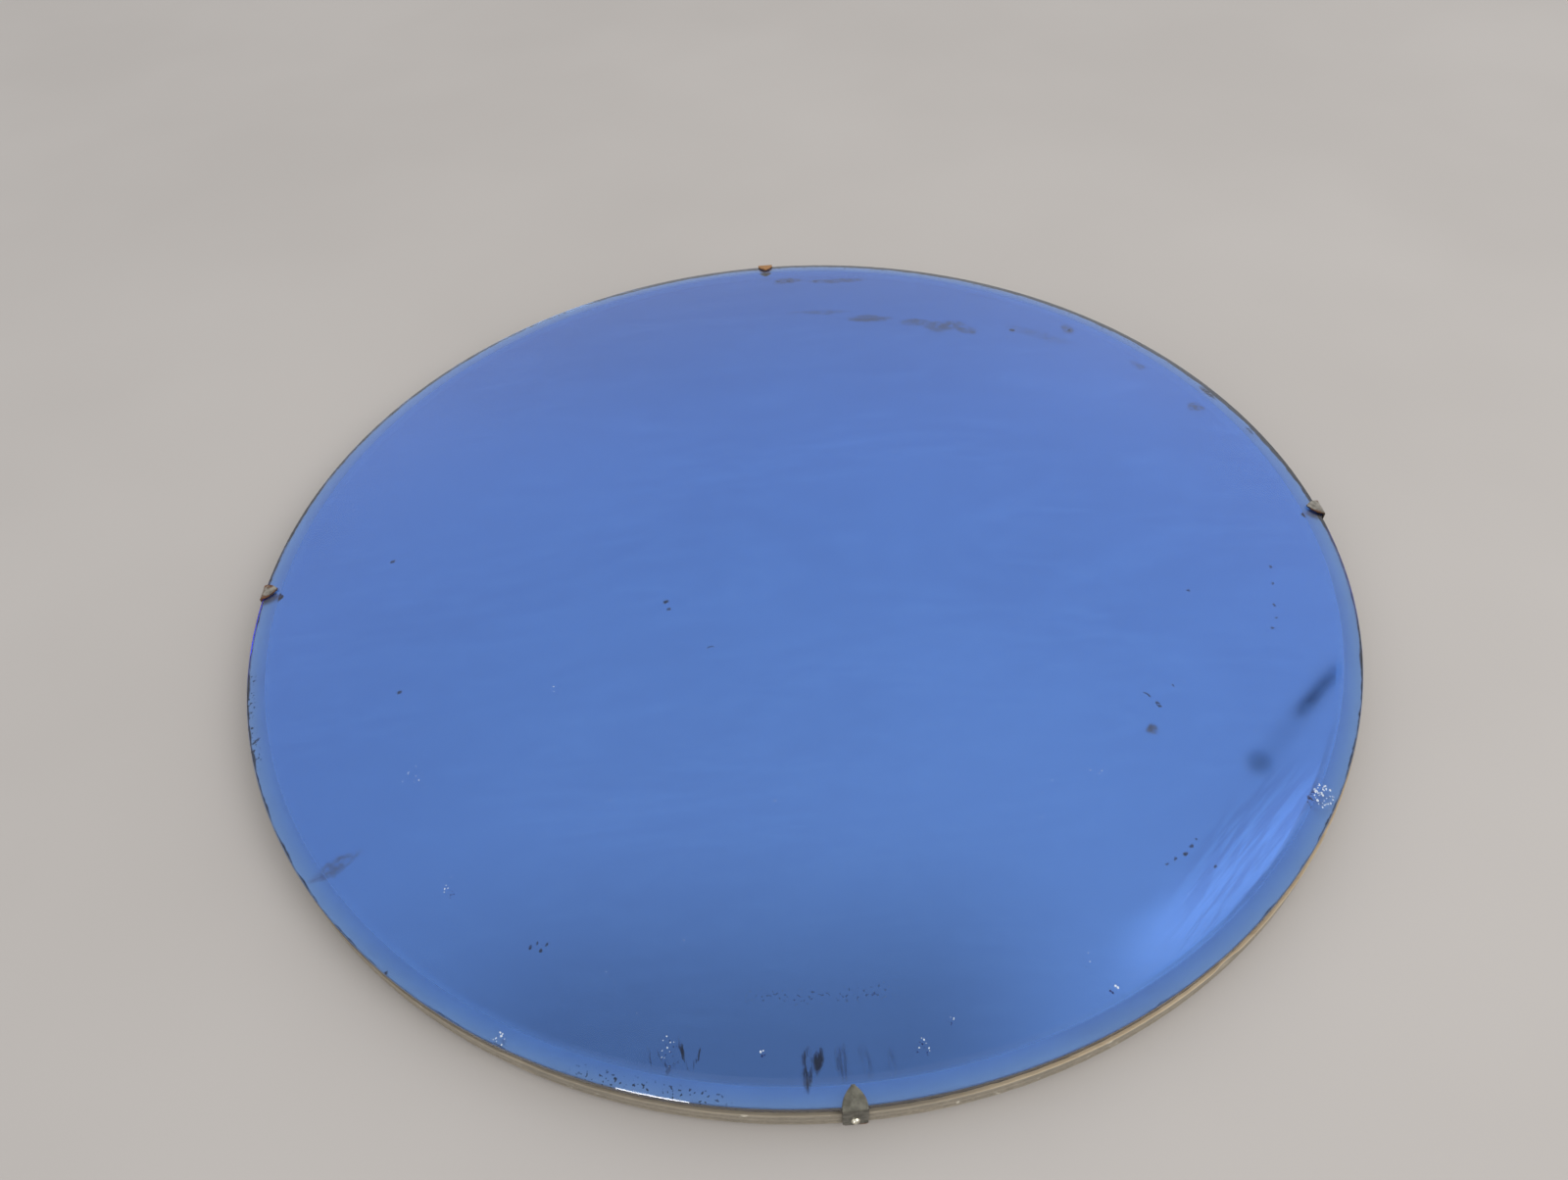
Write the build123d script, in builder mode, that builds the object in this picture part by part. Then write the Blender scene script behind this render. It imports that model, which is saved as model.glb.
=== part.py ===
from build123d import *
import os
from math import cos, radians, sin, sqrt, tan

os.makedirs("parts", exist_ok=True)

# A round convex wall mirror: bevelled blue glass on a plywood board, held by four
# nailed clips. It lies face up. +Z is the way the mirror faces, +Y is its top when
# it hangs, and the origin is on the floor under the middle of the board.

# ---- driving dimensions, in millimetres and degrees ----

# Backing board
board_radius = 300.0
board_thickness = 10.0
board_edge_break = 0.6

# Rubber bumpers, which keep the back off the wall
bumper_height = 4.0
bumper_foot_radius = 7.5
bumper_top_radius = 9.0
bumper_edge_radius = 0.6
bumper_circle_radius = 245.0
bumper_angles = {"upper_right": 45, "upper_left": 135, "lower_left": 225, "lower_right": 315}

# Glass: a bent sheet with a flat ground seat behind and a bevel in front
glass_radius = 299.2
glass_thickness = 6.0
glass_shift = (-0.7, 0.2)  # the glass sits slightly off the middle of its board
glass_arris = 0.35
front_sphere_radius = 2000.0
seat_inner_radius = 290.0
bevel_width = 10.6
bevel_angle = 13.0

# Layers between the glass and the board
coat_thickness = 0.5  # silvering, and again its paint
felt_thickness = 1.0
felt_inner_radius = 286.0
felt_outer_radius = 298.6

# Clips
clip_sheet = 1.0
clip_width = 10.2
clip_tongue_length = 8.2
clip_lift = 0.3  # gap between the tongue and the bevel
clip_drop = 15.5  # from the top of the glass edge down to the end of the side plate
clip_bend_radius = 1.4
clip_tip_half_width = 1.3
clip_tip_depth = 0.7
clip_hole_radius = 0.9
clip_angles = {"right": 0, "top": 90, "left": 180, "bottom": 270}

# Nails through the clips
nail_drop = 10.2  # from the top of the glass edge down to the nail
nail_head_radius = 1.85
nail_head_height = 1.4
nail_shank_radius = 0.8
nail_length = 15.0
nail_point_length = 2.5

# Hanging rings, each a D of wire in the rolled eye of a strap
ring_x = 150.0
ring_axis_y = 115.0
ring_wire_radius = 0.9
ring_half_width = 7.4
ring_arm_length = 5.0
ring_corner_radius = 1.6
eye_clearance = 0.06
ring_sides = {"left": -ring_x, "right": ring_x}

# Hanger straps
strap_sheet = 0.8
strap_width = 11.0
strap_length = 25.0
strap_end_radius = 5.0
strap_slit = 0.35  # left open where the rolled end comes back to the strap
screw_setbacks = {"upper": 9.0, "lower": 19.0}

# Round-headed screws: the hangers' and, sunk in the rubber, the bumpers'
screw_head_radius = 2.7
screw_head_height = 1.3
screw_shank_radius = 1.5
screw_length = 9.0
screw_point_length = 2.5
screw_slot_width = 0.8
screw_slot_depth = 0.6
strap_hole_radius = 1.65
bumper_hole_radius = 1.7
bumper_sink_radius = 3.4
bumper_sink_depth = 1.9
pilot_clearance = 0.05
pilot_extra_depth = 0.5

# ---- heights and places worked out from them ----
board_bottom = bumper_height
board_top = board_bottom + board_thickness
felt_top = board_top + felt_thickness
paint_top = felt_top + coat_thickness
glass_seat = paint_top + coat_thickness

back_sphere_radius = front_sphere_radius - glass_thickness
sphere_center_z = glass_seat - sqrt(back_sphere_radius**2 - seat_inner_radius**2)
bevel_inner_radius = glass_radius - bevel_width
bevel_drop = bevel_width * tan(radians(bevel_angle))

nail_seat_radius = board_radius + clip_sheet
eye_outer_radius = ring_wire_radius + eye_clearance + strap_sheet
ring_axis_z = board_bottom - eye_outer_radius

glass_center = (glass_shift[0], glass_shift[1], 0)
glass_section = Plane(origin=glass_center, x_dir=(1, 0, 0), z_dir=(0, -1, 0))
glass_axis = Axis(glass_center, (0, 0, 1))


def sphere_height(sphere_radius, radius):
    """Height of one of the glass's concentric spheres at a distance from its axis."""
    return sphere_center_z + sqrt(sphere_radius**2 - radius**2)


def sphere_reach(sphere_radius, height):
    """Distance from the axis at which such a sphere comes down to a height."""
    return sqrt(sphere_radius**2 - (height - sphere_center_z) ** 2)


def sphere_arc(sphere_radius, radius):
    """Section line of such a sphere from the axis out to a distance from it."""
    crown = (0, sphere_height(sphere_radius, 0))
    middle = (radius / 2, sphere_height(sphere_radius, radius / 2))
    return ThreePointArc(crown, middle, (radius, sphere_height(sphere_radius, radius)))


rim_top = sphere_height(front_sphere_radius, bevel_inner_radius) - bevel_drop
nail_height = rim_top - nail_drop


# ---- glass and its layers ----
with BuildPart() as mirror_glass:
    with BuildSketch(glass_section) as bent_glass:
        with BuildLine():
            back = sphere_arc(back_sphere_radius, seat_inner_radius)
            front = sphere_arc(front_sphere_radius, bevel_inner_radius)
            Polyline(back @ 1, (glass_radius, glass_seat), (glass_radius, rim_top), front @ 1)
            Line(front @ 0, back @ 0)
        make_face()
        chamfer(bent_glass.vertices().group_by(Axis.X)[-1], glass_arris)
    revolve(axis=glass_axis)
mirror_glass.part.label = "mirror_glass"
export_step(mirror_glass.part, "parts/mirror_glass.step")


def coat_section(outer_sphere, top):
    """Outline of a layer that follows the back of the glass and its flat seat."""
    bottom = top - coat_thickness
    inner_sphere = outer_sphere - coat_thickness
    edge = glass_radius - glass_arris
    upper = sphere_arc(outer_sphere, sphere_reach(outer_sphere, top))
    lower = sphere_arc(inner_sphere, sphere_reach(inner_sphere, bottom))
    Polyline(upper @ 1, (edge, top), (edge, bottom), lower @ 1)
    Line(lower @ 0, upper @ 0)


with BuildPart() as silver_coat:
    with BuildSketch(glass_section):
        with BuildLine():
            coat_section(back_sphere_radius, glass_seat)
        make_face()
    revolve(axis=glass_axis)
silver_coat.part.label = "silver_coat"
export_step(silver_coat.part, "parts/silver_coat.step")

with BuildPart() as backing_paint:
    with BuildSketch(glass_section):
        with BuildLine():
            coat_section(back_sphere_radius - coat_thickness, paint_top)
        make_face()
    revolve(axis=glass_axis)
backing_paint.part.label = "backing_paint"
export_step(backing_paint.part, "parts/backing_paint.step")

with BuildPart() as felt_seat_ring:
    with BuildSketch(Plane.XY.offset(board_top)):
        Circle(felt_outer_radius)
        Circle(felt_inner_radius, mode=Mode.SUBTRACT)
    extrude(amount=felt_thickness)
felt_seat_ring.part.label = "felt_seat_ring"
export_step(felt_seat_ring.part, "parts/felt_seat_ring.step")


# ---- places on the board ----
def radial_direction(angle):
    return (cos(radians(angle)), sin(radians(angle)), 0)


def radial_section(angle):
    """Upright plane through the axis: local x runs outwards and local y upwards."""
    across = (sin(radians(angle)), -cos(radians(angle)), 0)
    return Plane(origin=(0, 0, 0), x_dir=radial_direction(angle), z_dir=across)


def bumper_place(angle):
    along = radial_direction(angle)
    return (bumper_circle_radius * along[0], bumper_circle_radius * along[1])


def under(place, height):
    """Plane that faces down, at a place under the board."""
    return Plane(origin=(place[0], place[1], height), z_dir=(0, 0, -1))


screw_places = {
    f"{side}_{end}": (x, ring_axis_y - setback)
    for side, x in ring_sides.items()
    for end, setback in screw_setbacks.items()
}
bumper_places = {corner: bumper_place(angle) for corner, angle in bumper_angles.items()}
bumper_screw_reach = screw_length - (bumper_height - bumper_sink_depth)
strap_screw_reach = screw_length - strap_sheet


# ---- board ----
with BuildPart() as backing_board:
    with BuildSketch(Plane.XY.offset(board_bottom)):
        Circle(board_radius)
    extrude(amount=board_thickness)
    chamfer(backing_board.edges().filter_by(GeomType.CIRCLE), board_edge_break)
    for angle in clip_angles.values():
        along = radial_direction(angle)
        mouth = (board_radius * along[0], board_radius * along[1], nail_height)
        with Locations(Plane(origin=mouth, z_dir=along)):
            Hole(nail_shank_radius + pilot_clearance, depth=nail_length)
    for place in screw_places.values():
        with Locations(under(place, board_bottom)):
            Hole(screw_shank_radius + pilot_clearance, depth=strap_screw_reach + pilot_extra_depth)
    for place in bumper_places.values():
        with Locations(under(place, board_bottom)):
            Hole(screw_shank_radius + pilot_clearance, depth=bumper_screw_reach + pilot_extra_depth)
backing_board.part.label = "backing_board"
export_step(backing_board.part, "parts/backing_board.step")


# ---- clips and their nails ----
tongue_slope = tan(radians(bevel_angle))
sheet_rise = clip_sheet / cos(radians(bevel_angle))
tongue_tip = board_radius - clip_tongue_length
plate_outer = board_radius + clip_sheet
plate_bottom = rim_top - clip_drop


def tongue_underside(radius):
    return rim_top + clip_lift + (glass_radius - radius) * tongue_slope


for side, angle in clip_angles.items():
    section = radial_section(angle)
    along = radial_direction(angle)

    with BuildPart() as clip:
        with BuildSketch(section) as bent_sheet:
            outer_bend = (plate_outer, tongue_underside(plate_outer) + sheet_rise)
            with BuildLine():
                Polyline(
                    (tongue_tip, tongue_underside(tongue_tip)),
                    (board_radius, tongue_underside(board_radius)),
                    (board_radius, plate_bottom),
                    (plate_outer, plate_bottom),
                    outer_bend,
                    (tongue_tip, tongue_underside(tongue_tip) + sheet_rise),
                    close=True,
                )
            make_face()
            fillet(bent_sheet.vertices().sort_by_distance(outer_bend)[0], clip_bend_radius)
        extrude(amount=clip_width / 2, both=True)
        with BuildSketch(Plane(origin=(0, 0, 0), x_dir=along, z_dir=(0, 0, 1))):
            half = clip_width / 2
            tip_side = tongue_tip + clip_tip_depth
            belly = (tongue_tip + clip_tongue_length * 0.42, half * 0.74)
            with BuildLine():
                left_side = ThreePointArc((board_radius, half), belly, (tip_side, clip_tip_half_width))
                tip = ThreePointArc(left_side @ 1, (tongue_tip, 0), (tip_side, -clip_tip_half_width))
                right_side = ThreePointArc(tip @ 1, (belly[0], -belly[1]), (board_radius, -half))
                Polyline(
                    right_side @ 1,
                    (plate_outer + clip_sheet, -half),
                    (plate_outer + clip_sheet, half),
                    left_side @ 0,
                )
            make_face()
        extrude(amount=rim_top * 2, mode=Mode.INTERSECT)
        hole_mouth = (plate_outer * along[0], plate_outer * along[1], nail_height)
        with Locations(Plane(origin=hole_mouth, z_dir=along)):
            Hole(clip_hole_radius, depth=2 * clip_sheet)
    clip.part.label = f"clip_{side}"
    export_step(clip.part, f"parts/clip_{side}.step")

    with BuildPart() as clip_nail:
        with BuildSketch(section):
            point = nail_seat_radius - nail_length
            shank_top = nail_height + nail_shank_radius
            head_edge = (nail_seat_radius, nail_height + nail_head_radius)
            crown = (nail_seat_radius + nail_head_height, nail_height)
            with BuildLine():
                Polyline(
                    crown,
                    (point, nail_height),
                    (point + nail_point_length, shank_top),
                    (nail_seat_radius, shank_top),
                    head_edge,
                )
                TangentArc(crown, head_edge, tangent=(0, 1))
            make_face()
        revolve(axis=Axis((0, 0, nail_height), along))
    clip_nail.part.label = f"clip_nail_{side}"
    export_step(clip_nail.part, f"parts/clip_nail_{side}.step")


# ---- bumpers ----
for corner, place in bumper_places.items():
    with BuildPart(Plane(origin=(place[0], place[1], 0))) as bumper:
        Cone(
            bumper_foot_radius,
            bumper_top_radius,
            bumper_height,
            align=(Align.CENTER, Align.CENTER, Align.MIN),
        )
        fillet(bumper.edges().group_by(Axis.Z)[0], bumper_edge_radius)
        with Locations(under((0, 0), 0)):
            CounterBoreHole(bumper_hole_radius, bumper_sink_radius, bumper_sink_depth)
    bumper.part.label = f"bumper_{corner}"
    export_step(bumper.part, f"parts/bumper_{corner}.step")


# ---- screws of the hangers and the bumpers, head down, by name and the height they bear at ----
hanger_seat = board_bottom - strap_sheet
screws = {f"hanger_screw_{name}": (*place, hanger_seat) for name, place in screw_places.items()}
for corner, place in bumper_places.items():
    screws[f"bumper_screw_{corner}"] = (*place, bumper_sink_depth)

for name, (x, y, seat_height) in screws.items():
    head_bottom = seat_height - screw_head_height
    point = seat_height + screw_length
    head_edge = x + screw_head_radius

    with BuildPart() as screw:
        with BuildSketch(Plane.XZ.offset(-y)):
            with BuildLine():
                shank_and_seat = Polyline(
                    (x, head_bottom),
                    (x, point),
                    (x + screw_shank_radius, point - screw_point_length),
                    (x + screw_shank_radius, seat_height),
                    (head_edge, seat_height),
                )
                TangentArc(shank_and_seat @ 0, shank_and_seat @ 1, tangent=(1, 0))
            make_face()
        revolve(axis=Axis((x, y, 0), (0, 0, 1)))
        with BuildSketch(Plane(origin=(x, y, head_bottom))):
            Rectangle(2 * screw_head_radius + 1, screw_slot_width)
        extrude(amount=screw_slot_depth, mode=Mode.SUBTRACT)
    screw.part.label = name
    export_step(screw.part, f"parts/{name}.step")

# ---- hanger straps and rings ----
for side, x in ring_sides.items():
    with BuildPart() as hanger_strap:
        strap_bottom = board_bottom - strap_sheet
        with BuildSketch(Plane.YZ.offset(x)):
            with Locations((ring_axis_y, ring_axis_z)):
                Circle(eye_outer_radius)
            with Locations((ring_axis_y, strap_bottom)):
                Rectangle(strap_length, strap_sheet, align=(Align.MAX, Align.MIN))
            with Locations((ring_axis_y, ring_axis_z)):
                Circle(ring_wire_radius + eye_clearance, mode=Mode.SUBTRACT)
            with Locations((ring_axis_y, strap_bottom)):
                Rectangle(
                    2 * eye_outer_radius,
                    strap_slit,
                    align=(Align.MAX, Align.MAX),
                    mode=Mode.SUBTRACT,
                )
        extrude(amount=strap_width / 2, both=True)
        fillet(hanger_strap.edges().filter_by(Axis.Z).group_by(Axis.Y)[0], strap_end_radius)
        for setback in screw_setbacks.values():
            with Locations(under((x, ring_axis_y - setback), strap_bottom)):
                Hole(strap_hole_radius)
    hanger_strap.part.label = f"hanger_strap_{side}"
    export_step(hanger_strap.part, f"parts/hanger_strap_{side}.step")

    with BuildPart() as hanging_ring:
        with BuildLine(Plane(origin=(x, ring_axis_y, ring_axis_z))) as half_loop:
            bar_and_arm = FilletPolyline(
                (0, 0),
                (ring_half_width, 0),
                (ring_half_width, ring_arm_length),
                radius=ring_corner_radius,
            )
            ThreePointArc(
                bar_and_arm @ 1,
                (ring_half_width * cos(radians(45)), ring_arm_length + ring_half_width * sin(radians(45))),
                (0, ring_arm_length + ring_half_width),
            )
        with BuildSketch(Plane(origin=(x, ring_axis_y, ring_axis_z), z_dir=(1, 0, 0))):
            Circle(ring_wire_radius)
        sweep(path=half_loop.line)
        mirror(about=Plane.YZ.offset(x))
    hanging_ring.part.label = f"hanging_ring_{side}"
    export_step(hanging_ring.part, f"parts/hanging_ring_{side}.step")
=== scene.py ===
import math
import random

import bmesh
import bpy
from mathutils import Matrix, Vector, noise


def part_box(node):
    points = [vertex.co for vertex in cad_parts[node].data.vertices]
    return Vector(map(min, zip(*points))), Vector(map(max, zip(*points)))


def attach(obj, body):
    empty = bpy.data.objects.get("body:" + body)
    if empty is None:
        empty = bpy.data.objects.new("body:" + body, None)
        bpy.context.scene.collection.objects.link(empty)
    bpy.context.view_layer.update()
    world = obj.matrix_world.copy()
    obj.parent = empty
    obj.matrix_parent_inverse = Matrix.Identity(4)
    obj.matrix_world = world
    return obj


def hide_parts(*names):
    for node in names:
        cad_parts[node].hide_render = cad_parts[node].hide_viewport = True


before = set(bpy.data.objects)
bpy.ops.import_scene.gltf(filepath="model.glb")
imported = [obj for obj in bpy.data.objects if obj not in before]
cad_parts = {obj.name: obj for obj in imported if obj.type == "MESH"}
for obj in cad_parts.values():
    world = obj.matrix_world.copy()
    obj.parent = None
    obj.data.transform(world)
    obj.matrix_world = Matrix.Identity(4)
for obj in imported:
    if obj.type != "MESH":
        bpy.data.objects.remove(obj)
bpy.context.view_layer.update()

# A convex wall mirror lying face up: bevelled blue glass on a plywood board, four nailed
# clips, and behind it rubber bumpers and two hanging rings. Lengths are in metres.
MM = 0.001

# ---- sizes that the boxes of the CAD nodes don't give ----
SPHERE_RADIUS = 2000 * MM
GLASS_THICKNESS = 6 * MM
BEVEL_WIDTH = 10.6 * MM
BEVEL_ANGLE = math.radians(13)
SEAT_WIDTH = 9.2 * MM
GLASS_ARRIS = 0.35 * MM
SILVER_GAP = 0.06 * MM  # keeps the silvering's face clear of the back of the glass
COAT_THICKNESS = 0.5 * MM
CLIP_SHEET = 1.0 * MM
CLIP_BEND_RADIUS = 1.4 * MM
PLIES = 5
FELT_WIDTH = 12.6 * MM
BOARD_ROUNDING = 0.5 * MM
CRUMB_THICKNESS = 0.04 * MM

# ---- how finely the meshes are divided ----
ROUND_STEPS = 720  # divisions of a full turn on the large round pieces
BOARD_STEPS = 1080
BUMPER_STEPS = 96
DOME_RINGS = 44  # rings between the axis and the edge of a domed face
CLIP_COLUMNS = 16
CRUMB_SIDES = 6

RUST_BROWN = (0.20, 0.085, 0.035)
CORNERS = ("upper_right", "upper_left", "lower_left", "lower_right")


def middle_and_radius(node):
    """Middle of a round CAD node in plan, its radius, and its lowest and highest z."""
    low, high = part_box(node)
    radius = max(high.x - low.x, high.y - low.y) / 2
    return Vector(((low.x + high.x) / 2, (low.y + high.y) / 2)), radius, low.z, high.z


glass_middle, glass_radius, seat_z, crown_z = middle_and_radius("mirror_glass")
board_middle, board_radius, board_low_z, board_high_z = middle_and_radius("backing_board")
felt_middle, felt_radius, felt_low_z, felt_high_z = middle_and_radius("felt_seat_ring")
sphere_z = crown_z - SPHERE_RADIUS


def sphere_height(sphere_radius, radius):
    """Height of one of the glass's concentric spheres at a distance from the axis."""
    return sphere_z + math.sqrt(sphere_radius**2 - radius**2)


bevel_inner = glass_radius - BEVEL_WIDTH
rim_z = sphere_height(SPHERE_RADIUS, bevel_inner) - BEVEL_WIDTH * math.tan(BEVEL_ANGLE)


# ======================================================================
# Meshes
# ======================================================================
def add_piece(name, mesh, material, body, replaced=()):
    """Puts a mesh in the scene as a piece of the object that moves with a body."""
    piece = bpy.data.objects.new(name, mesh)
    bpy.context.scene.collection.objects.link(piece)
    mesh.materials.append(material)
    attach(piece, body)
    if replaced:
        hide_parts(*replaced)
    return piece


def lathe(name, outline, middle, steps=ROUND_STEPS, creases=(), shape=None):
    """Solid of revolution from an outline of (radius, z) points.

    An outline that starts and ends on the axis is closed by it, and any other one is closed
    by its first point. creases are the outline points whose rings stay sharp. shape moves a
    point, given its radius, height, angle and place in the outline.
    """
    mesh = bpy.data.meshes.new(name)
    work = bmesh.new()
    rings = []
    for index, (radius, z) in enumerate(outline):
        ring = []
        for step in range(1 if radius == 0 else steps):
            turn = 2 * math.pi * step / steps
            r, height = (radius, z) if shape is None else shape(radius, z, turn, index)
            place = (middle.x + r * math.cos(turn), middle.y + r * math.sin(turn), height)
            ring.append(work.verts.new(place))
        rings.append(ring)
    pairs = list(zip(rings, rings[1:]))
    if outline[0][0] > 0:
        pairs.append((rings[-1], rings[0]))
    for first, second in pairs:
        for step in range(steps):
            after = (step + 1) % steps
            if len(first) == 1:
                corners = (first[0], second[after], second[step])
            elif len(second) == 1:
                corners = (first[step], first[after], second[0])
            else:
                corners = (first[step], first[after], second[after], second[step])
            face = work.faces.new(corners)
            face.smooth = True
    for index in creases:
        ring = rings[index]
        for step, vert in enumerate(ring):
            edge = work.edges.get((vert, ring[(step + 1) % steps]))
            edge.smooth = False
    bmesh.ops.recalc_face_normals(work, faces=work.faces)
    work.to_mesh(mesh)
    work.free()
    return mesh


def spread(start, end, count):
    """count values after start, evenly spaced, the last of them end."""
    return [start + (end - start) * (index + 1) / count for index in range(count)]


def glass_mesh():
    """Bent sheet with a bevel in front, a ground seat behind and a seamed rim."""
    seat_inner = glass_radius - SEAT_WIDTH
    back_radius = SPHERE_RADIUS - GLASS_THICKNESS
    outline = [(0, crown_z)]
    outline += [(r, sphere_height(SPHERE_RADIUS, r)) for r in spread(0, bevel_inner, DOME_RINGS)]
    ridge = len(outline) - 1
    slope = math.tan(BEVEL_ANGLE)
    bevel_edge = glass_radius - GLASS_ARRIS
    outline += [(r, rim_z + (glass_radius - r) * slope) for r in spread(bevel_inner, bevel_edge, 5)]
    arris = len(outline) - 1
    outline += [(glass_radius, rim_z - GLASS_ARRIS)]
    outline += [(glass_radius, seat_z + GLASS_ARRIS), (glass_radius - GLASS_ARRIS, seat_z)]
    outline += [(seat_inner, seat_z)]
    seat = len(outline) - 1
    outline += [(r, sphere_height(back_radius, r)) for r in spread(seat_inner, 0, DOME_RINGS)[:-1]]
    outline += [(0, sphere_height(back_radius, 0))]
    sharp = (ridge, arris, arris + 1, arris + 2, arris + 3, seat)
    return lathe("bevelled_glass", outline, glass_middle, creases=sharp)


def silver_mesh():
    """Layer that follows the back of the glass and its flat seat."""
    face = SPHERE_RADIUS - GLASS_THICKNESS - SILVER_GAP
    rear = SPHERE_RADIUS - GLASS_THICKNESS - COAT_THICKNESS
    seat_inner = glass_radius - SEAT_WIDTH
    edge = glass_radius - GLASS_ARRIS
    top, bottom = seat_z - SILVER_GAP, seat_z - COAT_THICKNESS
    outline = [(0, sphere_height(face, 0))]
    outline += [(r, sphere_height(face, r)) for r in spread(0, seat_inner, DOME_RINGS)[:-1]]
    outline += [(seat_inner, top), (edge, top), (edge, bottom), (seat_inner, bottom)]
    outline += [(r, sphere_height(rear, r)) for r in spread(seat_inner, 0, DOME_RINGS)[:-1]]
    outline += [(0, sphere_height(rear, 0))]
    corners = range(DOME_RINGS, DOME_RINGS + 4)
    return lathe("silvering", outline, glass_middle, creases=corners)


def board_mesh():
    """Plywood disc with softened, slightly knocked edges and plies that stand a hair proud."""
    thickness = board_high_z - board_low_z
    face_radius = board_radius - 6 * MM  # of the outermost ring on the flat faces
    turns = [math.radians(90 * step / 5) for step in range(6)]
    shoulder = board_radius - BOARD_ROUNDING
    upper, lower = board_high_z - BOARD_ROUNDING, board_low_z + BOARD_ROUNDING

    outline = [(0, board_high_z)]
    outline += [(r, board_high_z) for r in spread(0, face_radius, 10)]
    for lean in turns:
        r = shoulder + BOARD_ROUNDING * math.sin(lean)
        outline.append((r, upper + BOARD_ROUNDING * math.cos(lean)))
    outline += [(board_radius, z) for z in spread(upper, lower, 18)[:-1]]
    for lean in turns:
        r = shoulder + BOARD_ROUNDING * math.cos(lean)
        outline.append((r, lower - BOARD_ROUNDING * math.sin(lean)))
    outline += [(r, board_low_z) for r in spread(face_radius, 0, 10)]

    knock_reach = 2 * MM  # how far in from the side the knocks go
    inset = 0.12 * MM  # keeps the roughness inside the board's box
    roughness = 0.10 * MM
    dent_depth, dent_start = 1.6 * MM, 0.42
    ply_step = 0.05 * MM

    def knocked(radius, z, turn, index):
        if radius < board_radius - knock_reach:
            return radius, z
        place = Vector((math.cos(turn) * 40, math.sin(turn) * 40, z * 500))
        rough = noise.noise(place) * roughness
        dent = max(0.0, noise.noise(place * 0.35 + Vector((7, 3, 1))) - dent_start) * dent_depth
        ply = math.floor((z - board_low_z) / thickness * PLIES)
        proud = ply_step if ply % 2 == 0 else -ply_step
        return radius - inset + rough + proud - dent, z

    return lathe("plywood_board", outline, board_middle, steps=BOARD_STEPS, shape=knocked)


def felt_mesh():
    """Ring of pressed felt under the rim, its cut edge slightly ragged."""
    inner = felt_radius - FELT_WIDTH
    pressed_edge = felt_radius - 0.3 * MM
    raggedness = 0.25 * MM
    outline = [
        (inner, felt_high_z),
        (pressed_edge, felt_high_z),
        (felt_radius, (felt_low_z + felt_high_z) / 2),
        (pressed_edge, felt_low_z),
        (inner, felt_low_z),
    ]

    def ragged(radius, z, turn, index):
        if radius == inner:
            return radius, z
        place = Vector((math.cos(turn) * 90, math.sin(turn) * 90, index * 3.0))
        return radius + noise.noise(place) * raggedness, z

    return lathe("felt_ring", outline, felt_middle, shape=ragged)


def around(radial, across, height, turn):
    """Point at a distance from the board's axis, beside the radius at an angle."""
    return Vector(
        (
            board_middle.x + radial * math.cos(turn) - across * math.sin(turn),
            board_middle.y + radial * math.sin(turn) + across * math.cos(turn),
            height,
        )
    )


def clip_profile():
    """Outer face of a clip from the tongue's tip to the foot of its plate.

    Each entry is the distance along the sheet, the radius, the height and the outward
    direction in the section.
    """
    low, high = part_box("clip_right")
    tip_r, outer_r = low.x, high.x
    tip = Vector((tip_r, high.z))
    corner_z = high.z - (outer_r - tip_r) * math.tan(BEVEL_ANGLE)
    tongue_along = Vector((math.cos(BEVEL_ANGLE), -math.sin(BEVEL_ANGLE)))
    tongue_out = Vector((math.sin(BEVEL_ANGLE), math.cos(BEVEL_ANGLE)))
    bend_angle = math.pi / 2 - BEVEL_ANGLE
    setback = CLIP_BEND_RADIUS * math.tan(bend_angle / 2)
    bend_start = Vector((outer_r, corner_z)) - tongue_along * setback
    bend_middle = bend_start - tongue_out * CLIP_BEND_RADIUS
    points = []
    # the rows lie closer together towards the tip, where the outline turns fastest
    for share in [0, 0.03, 0.07, 0.12, 0.18, 0.25, 0.33, 0.42, 0.52, 0.62, 0.72, 0.82, 0.91]:
        points.append((tip.lerp(bend_start, share), tongue_out))
    bend_steps = 8
    for step in range(bend_steps + 1):
        lean = BEVEL_ANGLE + bend_angle * step / bend_steps
        out = Vector((math.sin(lean), math.cos(lean)))
        points.append((bend_middle + out * CLIP_BEND_RADIUS, out))
    plate_top = points[-1][0].copy()
    for share in spread(0, 1, 12):
        points.append((plate_top.lerp(Vector((outer_r, low.z)), share), Vector((1, 0))))
    travelled = 0
    profile = []
    for index, (place, out) in enumerate(points):
        if index:
            travelled += (place - points[index - 1][0]).length
        profile.append((travelled, place, out))
    return profile, (bend_start - tip).length


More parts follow.
